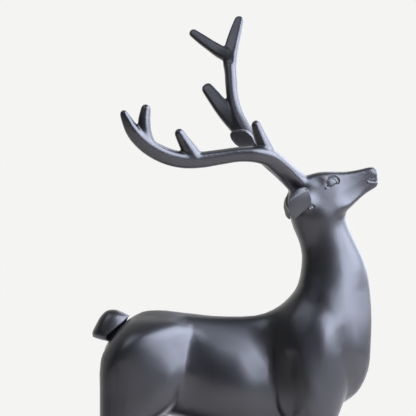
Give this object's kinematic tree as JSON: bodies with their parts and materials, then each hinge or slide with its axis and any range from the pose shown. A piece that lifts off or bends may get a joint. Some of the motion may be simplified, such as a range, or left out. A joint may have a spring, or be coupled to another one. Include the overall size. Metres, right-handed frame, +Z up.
{
  "type": "deer sculpture",
  "caption": "Standing stag figurine with swept, branching antlers and a raised head, cast in one piece with a low rounded base",
  "frame": {"origin": "centre of the flat underside of the base", "axes": "+Z up, +X the way the stag faces, +Y its left side"},
  "size_m": [0.1938, 0.1071, 0.3754],
  "materials": {
    "matte_black_resin": "satin matt black cast resin"
  },
  "bodies": {
    "root": {"deer": "matte_black_resin"}
  },
  "joints": []
}
